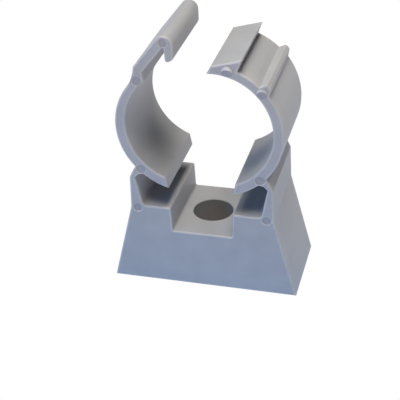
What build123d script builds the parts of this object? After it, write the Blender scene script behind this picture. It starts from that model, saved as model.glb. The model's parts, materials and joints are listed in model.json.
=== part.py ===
from build123d import *
from math import cos, hypot, radians, sin, sqrt, tan
import os

# Pipe clip, moulded in one shot: a block-shaped base that is fixed down through its middle, and two
# curved arms that hang on thin hinge necks. Pressed together, the hook arm snaps over the catch arm
# and the two close round a pipe.
#
# Millimetres. X runs across the clip with the hook arm at -X, Y along the pipe with the front at
# -Y, and Z up from the underside. The arms are drawn closed round the pipe and then swung open to
# the position in which they are moulded.

# Pipe and whole clip
pipe_diameter = 20.0
pipe_clearance = 0.3
pipe_height = 28.12
clip_width = 16.2
open_angle = 18.0
rim_round = 0.3

# Base block
base_width = 33.0
waist_height = 14.9
waist_spread = 0.15
ledge_height = 15.4
slot_width = 10.9
slot_draft = 0.17
slot_floor_height = 10.8
fixing_hole_diameter = 7.1

# Posts, and the necks that end in a cradle for each arm's knuckle
hinge_angle = -27.9
hinge_offset = 1.3
knuckle_radius = 1.05
knuckle_clearance = 0.05
shoulder_offset = 2.2
shoulder_drop = 1.9
post_top_wall = 0.98
post_foot_wall = 2.25
post_foot_fillet = 0.8
neck_tip_angle = -15.0
neck_tip_wall = 0.42
neck_lip_angle = -62.0
neck_lip_wall = 0.24

# Arms, as walls round the closed bore. Angles are round the pipe, up from the level of its axis
tab_wall = 1.85
tab_inner_angle = -50.0
tab_outer_angle = -55.5
arm_wall = 1.78
arm_middle_angle = 14.0

# Latch. The hook's plate and the wedge share one slope across the top of the closed clip
latch_slope = 33.0
plate_gap = 1.02
plate_wall = 1.65
plate_start = 2.9
latch_clearance = 0.15
step_place = 3.25
step_steepness = 47.0
wedge_length = 5.2
wedge_undercut = 2.0
nose_grip = 0.08
nose_grip_angle = 75.0
throat_wall = 1.48
throat_angle = 53.0
lip_root_gap = 0.75
lip_lean = 14.0
lip_taper = 4.0
lip_end_clearance = 0.05
lip_round = 0.4
bead_radius = 1.55
bead_shift = 0.25

# Channel behind the wedge, and the finger rib that ends it
channel_wall = 1.6
rib_height = 1.2
rib_foot_wall = 1.72
rib_outer_angle = 54.1
rib_crest_outer_angle = 58.5
rib_crest_inner_angle = 62.4
rib_inner_angle = 64.8
rib_round = 0.35

# Ejector pin marks in the front
pin_diameter = 2.05
knuckle_pin_diameter = 1.7
bead_pin_diameter = 1.45
bead_pin_shift = 0.52
bead_pin_angle = 77.0
pin_depth = 0.12
pin_wall = 1.0
pin_drop = 0.4
throat_pin_angle = 63.7
rib_pin_angle = 59.1

# Worked out from the above
bore = pipe_diameter / 2 + pipe_clearance
pipe_axis = (0.0, pipe_height)
plate_inside = bore + plate_gap
plate_outside = plate_inside + plate_wall


def polar(centre, radius, angle):
    """The point at a distance from a centre, at an angle in degrees from +X towards +Z."""
    return (centre[0] + radius * cos(radians(angle)), centre[1] + radius * sin(radians(angle)))


def ring(wall, angle, side=1):
    """The point at an angle round the pipe where a wall on the closed bore ends, on side 1 or -1."""
    x, z = polar(pipe_axis, bore + wall, angle)
    return (side * x, z)


def latch(along, out):
    """The point at a distance out from the pipe's axis, and along the slope of the closed latch."""
    foot = polar(pipe_axis, out, latch_slope + 90)
    return polar(foot, along, latch_slope)


def down_to(wall, start, angle):
    """Where a line from a point outside it, at an angle, meets the outside of a wall on the bore."""
    x, z = start[0] - pipe_axis[0], start[1] - pipe_axis[1]
    towards = x * cos(radians(angle)) + z * sin(radians(angle))
    depth = towards**2 - x**2 - z**2 + (bore + wall) ** 2
    return polar(start, -towards - sqrt(depth), angle)


hinge = ring(hinge_offset, hinge_angle)
cradle_radius = knuckle_radius + knuckle_clearance
shoulder = (hinge[0] + shoulder_offset, hinge[1] - shoulder_drop)
waist = (shoulder[0] + waist_spread, waist_height)
post_foot = (waist[0] - post_foot_wall, ledge_height)

# The step that the wedge's nose stops against, and the wedge one clearance inside it
step_top = latch(step_place, plate_inside)
nose_shift = latch_clearance / sin(radians(step_steepness))
nose_shift -= latch_clearance / tan(radians(step_steepness))
nose_place = step_place + nose_shift
wedge_out = plate_inside - latch_clearance
wedge_end = nose_place + wedge_length

# The hook's bead, and the lip below it that reaches down behind the wedge to the channel's floor
bead = latch(wedge_end + lip_root_gap + bead_shift, plate_outside - bead_radius)
lip_end_wall = channel_wall + lip_end_clearance
lip_root = latch(wedge_end + lip_root_gap, plate_inside)
lip_inside = down_to(lip_end_wall, lip_root, 270 - lip_lean)
lip_heading = 270 - lip_lean - lip_taper
lip_shoulder = polar(bead, bead_radius, lip_heading + 90)
lip_outside = down_to(lip_end_wall, lip_shoulder, lip_heading)

# The crest of the finger rib
rib_crest = [
    ring(channel_wall + rib_height, rib_crest_outer_angle),
    ring(channel_wall + rib_height, rib_crest_inner_angle),
]


def prism(draw):
    """A solid across the whole clip, from an outline drawn in the plane of the front view."""
    with BuildPart() as made:
        with BuildSketch(Plane.XZ):
            with BuildLine():
                draw()
            make_face()
        extrude(amount=clip_width / 2, both=True)
    return made.part


def round_corners(solid, corners, radius):
    """Rounds the edges that run through these corners of the outline, along the pipe."""
    edges = [
        edge
        for edge in solid.edges().filter_by(Axis.Y)
        for x, z in corners
        if hypot(edge.center().X - x, edge.center().Z - z) < 0.01
    ]
    return fillet(edges, radius)


def round_rims(solid):
    """Rounds the rims of the front and the rear face."""
    faces = solid.faces().filter_by(Axis.Y).sort_by(Axis.Y)
    return fillet(faces[0].edges() + faces[-1].edges(), rim_round)


def rod(place, radius, length=clip_width):
    """A round bar along the pipe's direction."""
    return Pos(place[0], 0, place[1]) * Rot(90, 0, 0) * Cylinder(radius, length)


def pin_mark(place, diameter=pin_diameter):
    """The shallow disc that an ejector pin leaves in the front."""
    middle = Pos(0, (pin_depth - clip_width) / 2, 0)
    return middle * rod(place, diameter / 2, pin_depth)


def draw_base():
    """The base with its posts, each with a neck that reaches in to the hinge's axis."""
    half_slot = slot_width / 2
    Polyline(
        (0, 0),
        (base_width / 2, 0),
        waist,
        shoulder,
        polar(hinge, cradle_radius + neck_tip_wall, neck_tip_angle),
        hinge,
        polar(hinge, cradle_radius + neck_lip_wall, neck_lip_angle),
        (shoulder[0] - post_top_wall, shoulder[1]),
        post_foot,
        (half_slot, ledge_height),
        (half_slot - slot_draft, slot_floor_height),
        (0, slot_floor_height),
    )
    mirror(about=Plane.YZ)


def make_base():
    """The block, posts and cradles, with the fastener slot and the fixing hole through its floor."""
    base = prism(draw_base)
    base = round_corners(base, [post_foot, (-post_foot[0], post_foot[1])], post_foot_fillet)
    base = round_rims(base)
    base -= Pos(0, 0, slot_floor_height / 2) * Cylinder(fixing_hole_diameter / 2, slot_floor_height)
    for side in (1, -1):
        base -= rod((side * hinge[0], hinge[1]), cradle_radius)
        base -= pin_mark((side * (waist[0] - post_foot_wall / 2), ledge_height - pin_drop))
    return base


def draw_arm(side, end_wall, end_angle):
    """The arm's back up to where its head begins, and from the hinge down, its tab's underside."""
    tab_corner = ring(tab_wall, tab_outer_angle, side)
    at_hinge = ring(tab_wall, hinge_angle, side)
    arm_end = ring(end_wall, end_angle, side)
    back = ThreePointArc(at_hinge, ring(arm_wall, arm_middle_angle, side), arm_end)
    TangentArc(at_hinge, tab_corner, tangent=(back % 0) * -1)
    Line(tab_corner, ring(0, tab_inner_angle, side))
    return back


def draw_hook_arm():
    """The arm, then its throat, plate, bead and lip, and back along the plate, step and bore."""
    back = draw_arm(-1, throat_wall, throat_angle)
    plate_corner = latch(plate_start, plate_outside)
    TangentArc(back @ 1, plate_corner, tangent=back % 1)
    bead_start = polar(bead, bead_radius, latch_slope + 90)
    Line(plate_corner, bead_start)
    bead_middle = polar(bead, bead_radius, (latch_slope + lip_heading - 180) / 2)
    ThreePointArc(bead_start, bead_middle, lip_shoulder)
    step_foot = down_to(0, step_top, latch_slope + step_steepness + 180)
    Polyline(lip_shoulder, lip_outside, lip_inside, lip_root, step_top, step_foot)
    ThreePointArc(step_foot, ring(0, 0, -1), ring(0, tab_inner_angle, -1))


def draw_catch_arm():
    """The arm, then its rib, channel, wedge and nose, and the seat with a slight grip at the nose."""
    back = draw_arm(1, rib_foot_wall, rib_outer_angle)
    channel_start = ring(channel_wall, rib_inner_angle)
    Polyline(back @ 1, *rib_crest, channel_start)
    wedge_tail = latch(wedge_end, wedge_out)
    wedge_foot = down_to(channel_wall, wedge_tail, 270 - wedge_undercut)
    channel_middle = ring(channel_wall, (rib_inner_angle + 90) / 2)
    ThreePointArc(channel_start, channel_middle, wedge_foot)
    nose = latch(nose_place, wedge_out)
    nose_tip = down_to(-nose_grip, nose, latch_slope + step_steepness + 180)
    Polyline(wedge_foot, wedge_tail, nose, nose_tip)
    seat = ThreePointArc(ring(0, tab_inner_angle), ring(0, 0), ring(0, nose_grip_angle))
    TangentArc(seat @ 1, nose_tip, tangent=seat % 1)


def finish_arm(arm, side, marks):
    """Rounds the rims, adds the knuckle and the pin marks, and swings the arm open at its hinge."""
    pivot = (side * hinge[0], hinge[1])
    arm = round_rims(arm) + rod(pivot, knuckle_radius)
    for place, diameter in [(pivot, knuckle_pin_diameter), *marks]:
        arm -= pin_mark(place, diameter)
    return arm.rotate(Axis((pivot[0], 0, pivot[1]), (0, 1, 0)), side * open_angle)


def make_hook_arm():
    arm = round_corners(prism(draw_hook_arm), [lip_inside, lip_outside], lip_round)
    throat_pin = ring(pin_wall, throat_pin_angle, -1)
    bead_pin = polar(bead, bead_pin_shift, bead_pin_angle)
    return finish_arm(arm, -1, [(throat_pin, pin_diameter), (bead_pin, bead_pin_diameter)])


def make_catch_arm():
    arm = round_corners(prism(draw_catch_arm), rib_crest, rib_round)
    rib_pin = ring(pin_wall, rib_pin_angle)
    wedge_pin = latch((nose_place + wedge_end) / 2, wedge_out - pin_wall)
    return finish_arm(arm, 1, [(rib_pin, pin_diameter), (wedge_pin, pin_diameter)])


os.makedirs("parts", exist_ok=True)
export_step(make_base(), "parts/base.step")
export_step(make_hook_arm(), "parts/hook_arm.step")
export_step(make_catch_arm(), "parts/catch_arm.step")
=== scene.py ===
# %% [markdown]
# # A pipe clip, dressed for its photograph
# The real clip is one injection moulding in light grey plastic: a block that is fixed to the wall, and
# two curved arms on thin bending webs that close round a pipe. The engineering model is loaded first
# and stays as it is. It sets every size and place, and its two arms already turn at their hinges.
# This lesson gives the clip the skin, edges and bending webs of the moulding.

# %% Load the engineering model
import json
from math import cos, radians, sin

import bmesh
import bpy
from mathutils import Euler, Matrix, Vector


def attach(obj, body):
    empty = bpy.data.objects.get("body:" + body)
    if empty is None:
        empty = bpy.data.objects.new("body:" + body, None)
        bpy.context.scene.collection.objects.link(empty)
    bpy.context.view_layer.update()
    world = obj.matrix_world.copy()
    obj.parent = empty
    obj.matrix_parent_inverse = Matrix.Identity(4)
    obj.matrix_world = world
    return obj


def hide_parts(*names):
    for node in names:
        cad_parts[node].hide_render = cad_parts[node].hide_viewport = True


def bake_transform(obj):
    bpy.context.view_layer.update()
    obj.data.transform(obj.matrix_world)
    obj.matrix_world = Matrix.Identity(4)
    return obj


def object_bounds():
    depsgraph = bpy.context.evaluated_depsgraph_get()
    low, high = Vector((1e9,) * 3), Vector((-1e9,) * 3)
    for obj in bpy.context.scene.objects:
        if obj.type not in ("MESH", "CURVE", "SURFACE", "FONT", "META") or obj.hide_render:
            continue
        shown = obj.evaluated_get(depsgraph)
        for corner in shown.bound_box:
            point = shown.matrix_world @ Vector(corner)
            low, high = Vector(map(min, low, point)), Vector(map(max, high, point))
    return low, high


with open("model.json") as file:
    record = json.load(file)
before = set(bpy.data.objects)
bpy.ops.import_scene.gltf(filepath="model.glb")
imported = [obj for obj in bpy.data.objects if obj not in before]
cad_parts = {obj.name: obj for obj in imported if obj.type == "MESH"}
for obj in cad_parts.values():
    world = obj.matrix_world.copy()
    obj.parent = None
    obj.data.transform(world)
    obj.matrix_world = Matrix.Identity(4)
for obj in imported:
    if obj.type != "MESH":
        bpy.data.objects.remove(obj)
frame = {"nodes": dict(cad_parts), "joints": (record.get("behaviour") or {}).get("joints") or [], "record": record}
cad_low, cad_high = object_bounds()
MM = 0.001
print("engineering model, mm:", [round(edge / MM, 2) for edge in (*cad_low, *cad_high)])

# %% [markdown]
# ## Camera
# The picture was taken from the right of the clip and from above, with a long lens, and the camera was
# held a little crooked. The focal length is known in pixels of the picture, and Blender takes it in
# millimetres on its own sensor.

# %% Camera
picture_width = 400
focal_pixels = 1074.7
camera_place = Vector((42.31, -156.79, 113.48)) * MM
camera_turn = Euler((radians(58.22), radians(2.09), radians(14.63)))
nearest_seen = 10 * MM

bpy.ops.object.camera_add(location=camera_place, rotation=camera_turn)
camera = bpy.context.object
camera.data.lens = camera.data.sensor_width * focal_pixels / picture_width
camera.data.clip_start = nearest_seen
bpy.context.scene.camera = camera
print("camera lens, mm:", round(camera.data.lens, 1))

# %% [markdown]
# ## Light
# The photograph has no hard shadow. Nearly all the light comes from three soft panels overhead, the
# outer two a little warm. A weak light stands low on the right, and a cold blue one low on the left,
# like a window in shade. The rest comes up from the floor.

# %% Light
bpy.context.scene.view_settings.view_transform = "Standard"
clip_middle = Vector((0, 0, 22)) * MM


def soft_light(name, place, size, watts, colour):
    """Hang a square soft light and turn it to face the clip. Its place and size are in mm."""
    start = Vector(place) * MM
    facing = (clip_middle - start).to_track_quat("-Z", "Y").to_euler()
    bpy.ops.object.light_add(type="AREA", location=start, rotation=facing)
    light = bpy.context.object
    light.name = name
    light.data.size = size * MM
    light.data.energy = watts
    light.data.color = colour


soft_light("top_panel", place=(-40, 0, 819), size=450, watts=3.35, colour=(1.0, 0.99, 0.98))
soft_light("front_panel", place=(94, -257, 774), size=250, watts=2.0, colour=(1.0, 0.93, 0.84))
soft_light("back_panel", place=(0, 274, 774), size=250, watts=2.2, colour=(1.0, 0.95, 0.84))
soft_light("right_window", place=(780, 0, 190), size=450, watts=0.23, colour=(0.9, 0.93, 1.0))
soft_light("left_shade", place=(-553, -553, 190), size=450, watts=2.1, colour=(0.13, 0.43, 1.0))

# %% [markdown]
# ## Floor
# The clip stands on bright white paper. What the paper throws back on to the clip has a colour: cool
# close in front of the clip, warm further off in front, and nearly grey behind. So the paper glows in
# those colours from front to back.

# %% Glowing paper
floor_size = 4000 * MM
glow_start = -200 * MM
glow_end = 50 * MM
glow_strength = 1.23
glow_stops = [
    (0.45, (1.0, 0.85, 0.72)),
    (0.6, (0.52, 0.63, 0.84)),
    (0.78, (0.52, 0.63, 0.84)),
    (0.9, (0.74, 0.73, 0.75)),
]

bpy.ops.mesh.primitive_plane_add(size=floor_size)
floor = bpy.context.object
floor.name = "floor"
paper = bpy.data.materials.new("white_paper")
paper.use_nodes = True
floor.data.materials.append(paper)
paper_nodes, paper_links = paper.node_tree.nodes, paper.node_tree.links
paper_shader = paper_nodes["Principled BSDF"]
paper_shader.inputs["Base Color"].default_value = (0, 0, 0, 1)
paper_shader.inputs["Specular IOR Level"].default_value = 0
paper_shader.inputs["Emission Strength"].default_value = 1

paper_place = paper_nodes.new("ShaderNodeTexCoord")
paper_axes = paper_nodes.new("ShaderNodeSeparateXYZ")
paper_reach = paper_nodes.new("ShaderNodeMapRange")
paper_reach.inputs["From Min"].default_value = glow_start
paper_reach.inputs["From Max"].default_value = glow_end
paper_glow = paper_nodes.new("ShaderNodeValToRGB")
for stop in range(len(glow_stops) - len(paper_glow.color_ramp.elements)):
    paper_glow.color_ramp.elements.new(0.5)
for element, (position, colour) in zip(paper_glow.color_ramp.elements, glow_stops):
    element.position = position
    element.color = (*colour, 1)
paper_bright = paper_nodes.new("ShaderNodeVectorMath")
paper_bright.operation = "SCALE"
paper_bright.inputs["Scale"].default_value = glow_strength

paper_links.new(paper_place.outputs["Object"], paper_axes.inputs["Vector"])
paper_links.new(paper_axes.outputs["Y"], paper_reach.inputs["Value"])
paper_links.new(paper_reach.outputs["Result"], paper_glow.inputs["Fac"])
paper_links.new(paper_glow.outputs["Color"], paper_bright.inputs["Vector"])
print("paper glows in", len(glow_stops), "stops")

# %% [markdown]
# Under the clip the glow is faint and brown, because real paper is in the clip's own shade there. It
# shows up through the fixing hole.

# %% Shade under the clip
shade_radius = 7.5 * MM
shade_glow = (0.42, 0.25, 0.16, 1)

paper_far = paper_nodes.new("ShaderNodeVectorMath")
paper_far.operation = "LENGTH"
paper_out = paper_nodes.new("ShaderNodeMath")
paper_out.operation = "GREATER_THAN"
paper_out.inputs[1].default_value = shade_radius
paper_shade = paper_nodes.new("ShaderNodeMix")
paper_shade.data_type = "RGBA"
paper_shade.inputs["A"].default_value = shade_glow

paper_links.new(paper_place.outputs["Object"], paper_far.inputs[0])
paper_links.new(paper_far.outputs["Value"], paper_out.inputs[0])
paper_links.new(paper_out.outputs["Value"], paper_shade.inputs["Factor"])
paper_links.new(paper_bright.outputs["Vector"], paper_shade.inputs["B"])
print("shade under the clip: radius, mm", round(shade_radius / MM, 2))

# %% [markdown]
# In the picture the paper is plain white. So the camera sees it white, and only everything else sees
# its glow. Past the edge of the paper the studio is white to the camera too, and gives no light.

# %% White to the camera
white = (1, 1, 1, 1)

paper_view = paper_nodes.new("ShaderNodeLightPath")
paper_seen = paper_nodes.new("ShaderNodeMix")
paper_seen.data_type = "RGBA"
paper_seen.inputs["B"].default_value = white
paper_links.new(paper_view.outputs["Is Camera Ray"], paper_seen.inputs["Factor"])
paper_links.new(paper_shade.outputs["Result"], paper_seen.inputs["A"])
paper_links.new(paper_seen.outputs["Result"], paper_shader.inputs["Emission Color"])

studio = bpy.data.worlds.new("white_studio")
bpy.context.scene.world = studio
studio.use_nodes = True
studio_nodes, studio_links = studio.node_tree.nodes, studio.node_tree.links
studio_nodes["Background"].inputs["Color"].default_value = white
studio_view = studio_nodes.new("ShaderNodeLightPath")
studio_links.new(studio_view.outputs["Is Camera Ray"], studio_nodes["Background"].inputs["Strength"])
print("white to the camera:", floor.name, "and", studio.name)

# %% [markdown]
# ## Tools for the bench
# Everything below is done as by hand: one object is opened in edit mode, part of it is selected by
# where it lies, and an operator acts on what is selected. Two small helpers do the opening and the
# selecting.


# %% Open and select
def open_alone(piece):
    """Select one object and nothing else, and open it in edit mode with nothing in it selected."""
    bpy.ops.object.select_all(action="DESELECT")
    piece.select_set(True)
    bpy.context.view_layer.objects.active = piece
    bpy.ops.object.mode_set(mode="EDIT")
    bpy.ops.mesh.select_all(action="DESELECT")


def pick(piece, kind, accepts):
    """In edit mode, select each vertex, edge or face that a test accepts, and count them."""
    bpy.ops.mesh.select_mode(type=kind)
    bpy.ops.mesh.select_all(action="DESELECT")
    mesh = bmesh.from_edit_mesh(piece.data)
    parts = {"VERT": mesh.verts, "EDGE": mesh.edges, "FACE": mesh.faces}[kind]
    chosen = [part for part in parts if accepts(part)]
    for part in chosen:
        part.select_set(True)
    mesh.select_flush_mode()
    bmesh.update_edit_mesh(piece.data)
    return len(chosen)


# %% [markdown]
# ## The outline of a moulding
# Every part of the clip has the same section all the way along the pipe. So the true outline is
# there for the taking: a copy of the engineering solid is cut once across, and only the cut is kept.
# Drawing the outline again by hand would only add mistakes to it.

# %% Cut an outline
section_place = 5 * MM
merge_distance = 0.004 * MM
straight_angle = radians(0.5)


def copy_of(piece, name):
    """Copy an object with its mesh, as a piece of its own that hangs on nothing."""
    bpy.ops.object.select_all(action="DESELECT")
    piece.select_set(True)
    bpy.context.view_layer.objects.active = piece
    bpy.ops.object.duplicate()
    copy = bpy.context.object
    copy.name = name
    copy.data.name = name
    copy.parent = None
    for tag in list(copy.keys()):
        del copy[tag]
    return copy


def outline_of(node, name):
    """Copy an engineering node, cut it across, and keep the outline as one loop of edges."""
    outline = copy_of(frame["nodes"][node], name)
    open_alone(outline)
    bpy.ops.mesh.select_all(action="SELECT")
    bpy.ops.mesh.remove_doubles(threshold=merge_distance)
    across = {"plane_co": (0, section_place, 0), "plane_no": (0, 1, 0)}
    bpy.ops.mesh.bisect(**across, clear_inner=True, clear_outer=True)
    bpy.ops.mesh.select_all(action="SELECT")
    bpy.ops.mesh.dissolve_limited(angle_limit=straight_angle)
    bpy.ops.object.mode_set(mode="OBJECT")
    print(name, "outline:", len(outline.data.vertices), "points")
    return outline


base = outline_of("base", "base_moulding")
arms = {arm: outline_of(arm, arm + "_moulding") for arm in ("hook_arm", "catch_arm")}

# %% [markdown]
# ## Make room for the bending webs
# The engineering solids turn on a small round knuckle in a cradle. On the real clip there is no such
# joint: a thin web carries each arm, and bends. So the points of the knuckles and cradles are
# deleted, which leaves the outlines open where the webs go.

# %% Delete the knuckles and cradles
hinges = {joint["child"]: Vector(joint["pos_m"]) for joint in frame["joints"]}
seats = {mount["name"]: Vector(mount["pos_m"]) for mount in frame["record"]["mounts"]}
knuckle_reach = 1.06 * MM
cradle_reach = 1.12 * MM
arm_back_radius = 12.17 * MM


def apart(place, other):
    """The distance between two places as the front view shows it."""
    return Vector((place.x - other.x, place.z - other.z)).length


def delete_points(piece, goes):
    """Delete the points of an outline that a test accepts, with the edges that end in them."""
    open_alone(piece)
    count = pick(piece, "VERT", goes)
    bpy.ops.mesh.delete(type="VERT")
    bpy.ops.object.mode_set(mode="OBJECT")
    print(piece.name, "loses", count, "points")


for arm, hinge in hinges.items():
    seat = seats[arm + "_seat"]
    delete_points(
        arms[arm],
        lambda point: apart(point.co, hinge) < knuckle_reach
        and apart(point.co, seat) > arm_back_radius,
    )
    delete_points(base, lambda point: apart(point.co, hinge) < cradle_reach)

# %% [markdown]
# ## Share the posts
# A web has to move with its arm at one end and stay with its post at the other, so it can't be cut
# in the middle. Each arm's piece therefore takes its web and the top of its post, and meets the base
# where the post is straight. For now the arm takes the post from a little further down. Both pieces
# get their rims first and are cut at the same height last, so that they meet without a groove.

# %% Copy the posts
post_start = 17 * MM
seam_height = 19 * MM


def post_of(side):
    """The open outline of one post above its start, on side 1 or -1."""
    post = copy_of(base, "post")
    open_alone(post)
    bpy.ops.mesh.select_all(action="SELECT")
    bpy.ops.mesh.bisect(plane_co=(0, 0, post_start), plane_no=(0, 0, 1), clear_inner=True)
    pick(post, "VERT", lambda point: point.co.x * side < 0)
    bpy.ops.mesh.delete(type="VERT")
    bpy.ops.object.mode_set(mode="OBJECT")
    return post


for arm, hinge in hinges.items():
    post = post_of(1 if hinge.x > 0 else -1)
    bpy.ops.object.select_all(action="DESELECT")
    post.select_set(True)
    arms[arm].select_set(True)
    bpy.context.view_layer.objects.active = arms[arm]
    bpy.ops.object.join()
    print(arms[arm].name, "with its post:", len(arms[arm].data.vertices), "points")

# %% [markdown]
# ## Close the outlines
# The loose ends are joined in pairs, which draws the faces of each web. The filled outline's corners
# at the web are then rounded, because a moulded hinge has no sharp notch that could start a tear. An
# arm's two lowest ends are only the cut through its post, so they stay sharp. The edges of the slot in
# the base, and the notch at the root of the hook's lip, are softened in the same way.

# %% Join the loose ends
same_place = 0.01 * MM


def loose_ends(piece, order):
    """The places of the points where an outline stops, in order."""
    degree = {}
    for edge in piece.data.edges:
        for index in edge.vertices:
            degree[index] = degree.get(index, 0) + 1
    ends = [piece.data.vertices[index].co.copy() for index, count in degree.items() if count == 1]
    return sorted(ends, key=order)


def near_any(places):
    """A test that accepts the points at these places."""
    return lambda point: any((point.co - place).length < same_place for place in places)


def close_outline(piece, order):
    """Join an outline's ends two by two, fill it with one face, and return where the ends were."""
    ends = loose_ends(piece, order)
    open_alone(piece)
    for first, second in zip(ends[0::2], ends[1::2]):
        pick(piece, "VERT", near_any([first, second]))
        bpy.ops.mesh.edge_face_add()
    bpy.ops.mesh.select_all(action="SELECT")
    bpy.ops.mesh.edge_face_add()
    bpy.ops.object.mode_set(mode="OBJECT")
    print(piece.name, "is closed:", len(piece.data.polygons), "face")
    return ends


corner_segments = 8


def round_corners(piece, places, radius):
    """Round the corners of a filled outline at these places."""
    open_alone(piece)
    count = pick(piece, "VERT", near_any(places))
    rounding = {"offset": radius, "segments": corner_segments, "affect": "VERTICES"}
    bpy.ops.mesh.bevel(**rounding, clamp_overlap=False)
    bpy.ops.object.mode_set(mode="OBJECT")
    print(piece.name, "has", count, "corners rounded")


web_round = 0.18 * MM
slot_round = 0.32 * MM
slot_reach = 6 * MM
lip_root_round = 0.4 * MM
lip_root = Vector((-5.146 * MM, section_place, 45.347 * MM))
post_ends = 2

slot_corners = [point.co.copy() for point in base.data.vertices if abs(point.co.x) < slot_reach]
for arm in arms.values():
    ends = close_outline(arm, lambda place: place.z)
    web_corners = ends[post_ends:]
    round_corners(arm, web_corners, web_round)
close_outline(base, lambda place: place.x)
round_corners(base, slot_corners, slot_round)
round_corners(arms["hook_arm"], [lip_root], lip_root_round)

# %% [markdown]
# ## The lip's end
# The hook's lip doesn't end square: its end slants up on the outside, so that it slides over the
# wedge. The outline is cut across above the end, so that one face holds the end alone. Then a slanted
# cut trims that face, and the faces are joined into one again.

# %% Slant the lip's end
lip_split = 43.9 * MM
lip_reach = 1 * MM
lip_foot = Vector((-4.3 * MM, section_place, 42.76 * MM))
lip_slant = radians(35)
lip_out = Vector((sin(lip_slant), 0, -cos(lip_slant)))
lip_outer_round = 0.45 * MM
lip_foot_round = 0.1 * MM
cut_snap = 0.001 * MM
hook = arms["hook_arm"]


def on_lip(face):
    """Whether a face of the hook arm's outline is the end of the lip."""
    middle = face.calc_center_median()
    return middle.z < lip_split and abs(middle.x - lip_foot.x) < lip_reach


def on_slant(point):
    """Whether a point of the hook arm's outline lies on the slanted cut."""
    return abs((point.co - lip_foot).dot(lip_out)) < same_place and point.co.x < 0


open_alone(hook)
bpy.ops.mesh.select_all(action="SELECT")
bpy.ops.mesh.bisect(plane_co=(0, 0, lip_split), plane_no=(0, 0, 1))
print("faces of the lip's end:", pick(hook, "FACE", on_lip))
bpy.ops.mesh.bisect(plane_co=lip_foot, plane_no=lip_out, clear_outer=True, threshold=cut_snap)
bpy.ops.mesh.select_all(action="SELECT")
bpy.ops.mesh.dissolve_limited(angle_limit=straight_angle)
bpy.ops.object.mode_set(mode="OBJECT")

slant_ends = [point.co.copy() for point in hook.data.vertices if on_slant(point)]
lip_corner = max(slant_ends, key=lambda place: place.x)
round_corners(hook, [lip_corner], lip_outer_round)
round_corners(hook, [lip_foot], lip_foot_round)
print("the lip's outer corner, mm:", [round(size / MM, 2) for size in lip_corner])

# %% [markdown]
# ## Plastic
# The clip is one plastic in one colour, but its surface isn't one finish. The mould is blasted to a
# fine satin, and the part is pushed out of it along the pipe's direction, which draws faint lines
# the same way. The pins that push it leave smooth discs, and the two places where the plastic ran in
# are rough. Some finishes also carry painted light: the discs and the torn scars are painted darker
# as painted shade, and the rims and the edges round the marks are painted paler as painted
# highlights. All of them share one skin, so that is a node group, and each finish places it with
# values of its own.

# %% The moulded skin
skin = bpy.data.node_groups.new("moulded_skin", "ShaderNodeTree")
for socket_name, socket_type, in_out in (
    ("Place", "NodeSocketVector", "INPUT"),
    ("Grain", "NodeSocketFloat", "INPUT"),
    ("Drag", "NodeSocketFloat", "INPUT"),
    ("Gloss Low", "NodeSocketFloat", "INPUT"),
    ("Gloss High", "NodeSocketFloat", "INPUT"),
    ("Mottle", "NodeSocketFloat", "OUTPUT"),
    ("Roughness", "NodeSocketFloat", "OUTPUT"),
    ("Height", "NodeSocketFloat", "OUTPUT"),
):
    skin.interface.new_socket(name=socket_name, socket_type=socket_type, in_out=in_out)

skin_in = skin.nodes.new("NodeGroupInput")
skin_out = skin.nodes.new("NodeGroupOutput")


def skin_noise(turns_per_metre, detail):
    """A noise in the skin that changes about so many times a metre in each direction."""
    stretch = skin.nodes.new("ShaderNodeMapping")
    stretch.inputs["Scale"].default_value = turns_per_metre
    skin.links.new(skin_in.outputs["Place"], stretch.inputs["Vector"])
    noise = skin.nodes.new("ShaderNodeTexNoise")
    noise.inputs["Scale"].default_value = 1
    noise.inputs["Detail"].default_value = detail
    skin.links.new(stretch.outputs["Vector"], noise.inputs["Vector"])
    return noise.outputs["Fac"]


def skin_math(operation, first, second):
    """A sum or product in the skin, of a noise and an input."""
    step = skin.nodes.new("ShaderNodeMath")
    step.operation = operation
    skin.links.new(first, step.inputs[0])
    skin.links.new(second, step.inputs[1])
    return step.outputs["Value"]


mottle_turns = (230, 150, 230)
grain_turns = (5200, 5200, 5200)
drag_turns = (2600, 70, 2600)
mottle_low = 0.35
mottle_high = 0.65

mottle = skin_noise(mottle_turns, detail=3)
grain = skin_noise(grain_turns, detail=2)
drag = skin_noise(drag_turns, detail=2)
grain_height = skin_math("MULTIPLY", grain, skin_in.outputs["Grain"])
drag_height = skin_math("MULTIPLY", drag, skin_in.outputs["Drag"])
height = skin_math("ADD", grain_height, drag_height)

spread = skin.nodes.new("ShaderNodeMapRange")
spread.inputs["From Min"].default_value = mottle_low
spread.inputs["From Max"].default_value = mottle_high
skin.links.new(mottle, spread.inputs["Value"])
skin.links.new(skin_in.outputs["Gloss Low"], spread.inputs["To Min"])
skin.links.new(skin_in.outputs["Gloss High"], spread.inputs["To Max"])

skin.links.new(mottle, skin_out.inputs["Mottle"])
skin.links.new(spread.outputs["Result"], skin_out.inputs["Roughness"])
skin.links.new(height, skin_out.inputs["Height"])
print("skin group:", len(skin.nodes), "nodes")


# %% Finishes
relief_distance = 0.05 * MM
plastic_ior = 1.49


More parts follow.
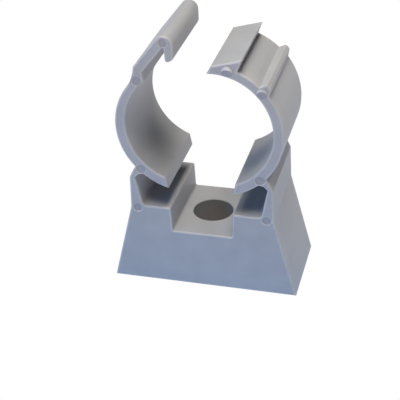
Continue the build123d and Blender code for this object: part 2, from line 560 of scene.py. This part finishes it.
def plastic(name, dark, light, gloss, grain_height, drag_height, bump):
    """A finish of the plastic: two colours to mottle between, a roughness range, and its relief."""
    material = bpy.data.materials.new(name)
    material.use_nodes = True
    nodes, links = material.node_tree.nodes, material.node_tree.links
    shader = nodes["Principled BSDF"]
    place = nodes.new("ShaderNodeTexCoord")
    surface = nodes.new("ShaderNodeGroup")
    surface.node_tree = skin
    links.new(place.outputs["Object"], surface.inputs["Place"])
    surface.inputs["Grain"].default_value = grain_height
    surface.inputs["Drag"].default_value = drag_height
    surface.inputs["Gloss Low"].default_value = gloss[0]
    surface.inputs["Gloss High"].default_value = gloss[1]
    colours = nodes.new("ShaderNodeValToRGB")
    colours.color_ramp.elements[0].position = mottle_low
    colours.color_ramp.elements[0].color = (*dark, 1)
    colours.color_ramp.elements[1].position = mottle_high
    colours.color_ramp.elements[1].color = (*light, 1)
    links.new(surface.outputs["Mottle"], colours.inputs["Fac"])
    links.new(colours.outputs["Color"], shader.inputs["Base Color"])
    links.new(surface.outputs["Roughness"], shader.inputs["Roughness"])
    relief = nodes.new("ShaderNodeBump")
    relief.inputs["Strength"].default_value = bump
    relief.inputs["Distance"].default_value = relief_distance
    links.new(surface.outputs["Height"], relief.inputs["Height"])
    links.new(relief.outputs["Normal"], shader.inputs["Normal"])
    shader.inputs["IOR"].default_value = plastic_ior
    return material


satin = plastic(
    "satin_plastic",
    dark=(0.43, 0.435, 0.45),
    light=(0.47, 0.475, 0.49),
    gloss=(0.42, 0.5),
    grain_height=1.0,
    drag_height=0.8,
    bump=0.25,
)
# The rims are painted paler than the satin: a painted highlight along the rounded edges.
rim = plastic(
    "pale_rim_highlight",
    dark=(0.54, 0.535, 0.54),
    light=(0.58, 0.575, 0.58),
    gloss=(0.38, 0.46),
    grain_height=0.8,
    drag_height=0.0,
    bump=0.2,
)
# The pin discs are painted darker than the satin: painted shade in their recesses.
disc = plastic(
    "pin_disc",
    dark=(0.38, 0.385, 0.40),
    light=(0.42, 0.425, 0.44),
    gloss=(0.34, 0.4),
    grain_height=0.4,
    drag_height=0.0,
    bump=0.2,
)
# The torn scars are painted darker: painted shade on their faces, which lean down away from the light.
scar = plastic(
    "gate_scar",
    dark=(0.33, 0.33, 0.36),
    light=(0.40, 0.40, 0.43),
    gloss=(0.5, 0.7),
    grain_height=2.0,
    drag_height=0.0,
    bump=0.5,
)
# The pale edge round the marks is a painted highlight, where their rounded edges catch the light.
pale = plastic(
    "painted_highlight_edge",
    dark=(0.58, 0.575, 0.58),
    light=(0.63, 0.625, 0.63),
    gloss=(0.4, 0.5),
    grain_height=0.6,
    drag_height=0.0,
    bump=0.2,
)
print("finishes:", satin.name, rim.name, disc.name, scar.name, pale.name)

# %% [markdown]
# ## From outline to moulding
# The face is moved to the front of the clip and extruded to the back. The front and rear edges are
# rounded on the real clip, and catch the light as thin pale lines, so both rims get a bevel in a paler
# finish: a painted highlight. Then the seams are cut: the base keeps what is below, and the arms what
# is above.

# %% Extrude and round the rims
front = cad_low.y
width = cad_high.y - cad_low.y
rim_round = 0.3 * MM
rim_segments = 8
rim_slot = 1


def extrude_along_pipe(piece):
    """Give a filled outline its width, from the front of the clip to the back, and round its rims."""
    piece.data.materials.clear()
    piece.data.materials.append(satin)
    piece.data.materials.append(rim)
    open_alone(piece)
    bpy.ops.mesh.select_all(action="SELECT")
    bpy.ops.transform.translate(value=(0, front - section_place, 0))
    bpy.ops.mesh.extrude_region_move(TRANSFORM_OT_translate={"value": (0, width, 0)})
    bpy.ops.mesh.select_all(action="SELECT")
    bpy.ops.mesh.normals_make_consistent(inside=False)
    count = pick(piece, "EDGE", lambda edge: abs(edge.verts[0].co.y - edge.verts[1].co.y) < same_place)
    # The rim bevel takes the paler rim finish, a painted highlight.
    bevel = {"offset": rim_round, "segments": rim_segments, "affect": "EDGES", "material": rim_slot}
    bpy.ops.mesh.bevel(**bevel, clamp_overlap=False)
    bpy.ops.object.mode_set(mode="OBJECT")
    print(piece.name, "has", count, "rim edges rounded")


def cut_at_seam(piece, keep_above):
    """Cut a moulding across at the seam's height, close the cut, and keep one side."""
    open_alone(piece)
    bpy.ops.mesh.select_all(action="SELECT")
    level = {"plane_co": (0, 0, seam_height), "plane_no": (0, 0, 1), "use_fill": True}
    bpy.ops.mesh.bisect(**level, clear_inner=keep_above, clear_outer=not keep_above)
    bpy.ops.object.mode_set(mode="OBJECT")


for piece in (base, *arms.values()):
    extrude_along_pipe(piece)
    cut_at_seam(piece, keep_above=piece is not base)
    print(piece.name, len(piece.data.vertices), "vertices")

# %% [markdown]
# ## Cut the hole
# The fixing hole is cut into the base with a boolean, and so are the marks in the front after it.
# That is how a mould's steel does it too: the tool is a shape of its own, and brings its own finish.


# %% Boolean helper
def cut_with(piece, tool, finish):
    """Cut a tool from a piece and throw the tool away. The cut has the tool's finish."""
    tool.data.materials.append(finish)
    bpy.ops.object.select_all(action="DESELECT")
    piece.select_set(True)
    bpy.context.view_layer.objects.active = piece
    bpy.ops.object.modifier_add(type="BOOLEAN")
    boolean = piece.modifiers[-1]
    boolean.operation = "DIFFERENCE"
    boolean.object = tool
    boolean.solver = "EXACT"
    boolean.material_mode = "TRANSFER"
    bpy.ops.object.modifier_apply(modifier=boolean.name)
    bpy.data.objects.remove(tool)


# %% Fixing hole
hole = next(mount for mount in frame["record"]["mounts"] if mount["name"] == "fixing_hole")
hole_radius = hole["dims"]["r_mm"] * MM
hole_length = hole["dims"]["length_mm"] * MM
hole_round = 0.14 * MM
hole_steps = 128
tool_length = 1.2 * hole_length
edge_segments = 3

bpy.ops.mesh.primitive_cylinder_add(
    vertices=hole_steps, radius=hole_radius, depth=tool_length, location=hole["pos_m"]
)
cut_with(base, bpy.context.object, satin)


def round_hole_edge(edge):
    """Whether an edge lies on the rim of the fixing hole, above or below."""
    on_wall = all(abs(point.co.xy.length - hole_radius) < same_place for point in edge.verts)
    return on_wall and abs(edge.verts[0].co.z - edge.verts[1].co.z) < same_place


open_alone(base)
rim_edges = pick(base, "EDGE", round_hole_edge)
bpy.ops.mesh.bevel(offset=hole_round, segments=edge_segments, affect="EDGES", clamp_overlap=False)
bpy.ops.object.mode_set(mode="OBJECT")
print("fixing hole: radius, mm", round(hole_radius / MM, 2), "rim edges", rim_edges)

# %% [markdown]
# ## Marks in the front
# Ejector pins leave shallow discs in the front face: two at the feet of the posts, one on each
# hinge, one in the hook's bead and one in its throat. Each disc is painted darker than the face round
# it, as painted shade in its recess, and round it the edge of the moulding is soft and painted pale, as
# a painted highlight. Where the plastic ran into the mould, on the wedge and on the finger rib, it
# was torn off: the torn disc leans out of the front, painted dark as shade, and its top catches the
# light with a painted pale highlight.

# %% Pin discs and gate scars
front_turn = (radians(90), 0, 0)
mark_steps = 56
mouth_reach = 1.2
pin_depth = 0.2 * MM
pin_taper = 0.06 * MM
pin_edge = 0.13 * MM
scar_depth = 0.03 * MM
scar_inset = 0.075 * MM
scar_flat = 0.85
faces_front = -0.9


def finish_slot(piece, finish):
    """The number of a finish among a piece's material slots, added if it isn't there yet."""
    if piece.data.materials.find(finish.name) < 0:
        piece.data.materials.append(finish)
    return piece.data.materials.find(finish.name)


def sink(piece, x, z, radius, depth, taper, finish):
    """Sink a round recess in the front. Its place is in mm. Return its centre on the front view."""
    bpy.ops.mesh.primitive_cone_add(
        vertices=mark_steps,
        location=(x * MM, front, z * MM),
        rotation=front_turn,
        radius1=radius - taper,
        radius2=radius + taper,
        depth=2 * depth,
    )
    cut_with(piece, bpy.context.object, finish)
    return Vector((x * MM, front, z * MM))


def pin_disc(piece, x, z, diameter):
    """Sink a disc painted darker as shade in the front, with a soft edge painted pale as a highlight. Its place
    and diameter are in mm.
    """
    radius = diameter / 2 * MM
    centre = sink(piece, x, z, radius, pin_depth, pin_taper, disc)
    disc_slot = finish_slot(piece, disc)

    def on_mouth(edge):
        """Whether an edge parts this disc from the moulding round it."""
        sides = {face.material_index == disc_slot for face in edge.link_faces}
        return len(sides) == 2 and apart(edge.verts[0].co, centre) < mouth_reach * radius

    pale_slot = finish_slot(piece, pale)
    open_alone(piece)
    pick(piece, "EDGE", on_mouth)
    # The soft edge round the disc takes the pale finish, a painted highlight.
    bpy.ops.mesh.bevel(offset=pin_edge, segments=edge_segments, affect="EDGES", material=pale_slot)
    bpy.ops.object.mode_set(mode="OBJECT")


def gate_scar(piece, x, z, diameter, degrees):
    """Lean a torn disc out of the front by an angle, with its foot flush. Sizes are in mm. Its face is painted
    dark as shade and its sides pale as a highlight.
    """
    slant = radians(degrees)
    radius = diameter / 2 * MM
    centre = sink(piece, x, z, radius, scar_depth, 0, scar)
    scar_slot = finish_slot(piece, scar)
    pale_slot = finish_slot(piece, pale)
    half_height = (radius - scar_inset) * scar_flat
    drop = radius - half_height * cos(slant)
    lean = half_height * sin(slant)
    open_alone(piece)
    pick(
        piece,
        "FACE",
        lambda face: face.material_index == scar_slot
        and face.normal.y < faces_front
        and apart(face.calc_center_median(), centre) < radius,
    )
    bpy.ops.mesh.inset(thickness=scar_inset)
    bpy.ops.transform.resize(value=(1, 1, scar_flat), center_override=centre)
    bpy.ops.transform.rotate(value=-slant, orient_axis="X", center_override=centre)
    bpy.ops.transform.translate(value=(0, -lean, -drop))
    mesh = bmesh.from_edit_mesh(piece.data)
    # The sides of the torn disc take the pale finish, a painted highlight on its lit top.
    torn = next(face for face in mesh.faces if face.select)
    for edge in torn.edges:
        for side in edge.link_faces:
            if side is not torn:
                side.material_index = pale_slot
    bmesh.update_edit_mesh(piece.data)
    bpy.ops.object.mode_set(mode="OBJECT")


pin_disc(base, x=-11.36, z=14.93, diameter=1.58)
pin_disc(base, x=11.36, z=14.98, diameter=1.58)
for arm, hinge in hinges.items():
    pin_disc(arms[arm], x=hinge.x / MM, z=hinge.z / MM, diameter=1.7)
pin_disc(arms["hook_arm"], x=-5.18, z=46.0, diameter=1.45)
pin_disc(arms["hook_arm"], x=-9.97, z=39.1, diameter=1.66)
gate_scar(arms["catch_arm"], x=5.12, z=41.96, diameter=1.89, degrees=18.5)
gate_scar(arms["catch_arm"], x=10.65, z=38.6, diameter=1.75, degrees=12)
for piece in (base, *arms.values()):
    print(piece.name, len(piece.data.polygons), "faces with its marks")

# %% [markdown]
# ## Cut the webs for bending
# A mesh bends only where it has points. So each web is cut across several times between its post and
# its arm. Then the whole piece is shaded smooth, apart from its true edges, with the normals of its
# large flat faces kept flat. The arms get their places baked in, the base hangs on its body, and the
# engineering nodes are hidden.

# %% Cut the webs across
web_post_reach = 1.6 * MM
web_arm_reach = 0.55 * MM
web_cuts = 7


def across_web(arm):
    """The direction in which an arm's web runs out from its hinge to its post."""
    hinge, seat = hinges[arm], seats[arm + "_seat"]
    return Vector((hinge.x - seat.x, 0, hinge.z - seat.z)).normalized()


for arm, piece in arms.items():
    open_alone(piece)
    for cut in range(web_cuts):
        reach = web_arm_reach + (web_post_reach - web_arm_reach) * cut / (web_cuts - 1)
        bpy.ops.mesh.select_all(action="SELECT")
        bpy.ops.mesh.bisect(plane_co=hinges[arm] + reach * across_web(arm), plane_no=across_web(arm))
    bpy.ops.object.mode_set(mode="OBJECT")
    print(piece.name, len(piece.data.vertices), "vertices with its web cut")

# %% Shade and hang
smooth_angle = radians(12.5)
for piece in (base, *arms.values()):
    bpy.ops.object.select_all(action="DESELECT")
    piece.select_set(True)
    bpy.context.view_layer.objects.active = piece
    bpy.ops.object.shade_smooth_by_angle(angle=smooth_angle)
    bpy.ops.object.modifier_add(type="WEIGHTED_NORMAL")
    piece.modifiers[-1].keep_sharp = True
    bpy.ops.object.modifier_apply(modifier=piece.modifiers[-1].name)

for arm, piece in arms.items():
    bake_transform(piece)
    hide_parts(arm)
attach(base, "base")
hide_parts("base")
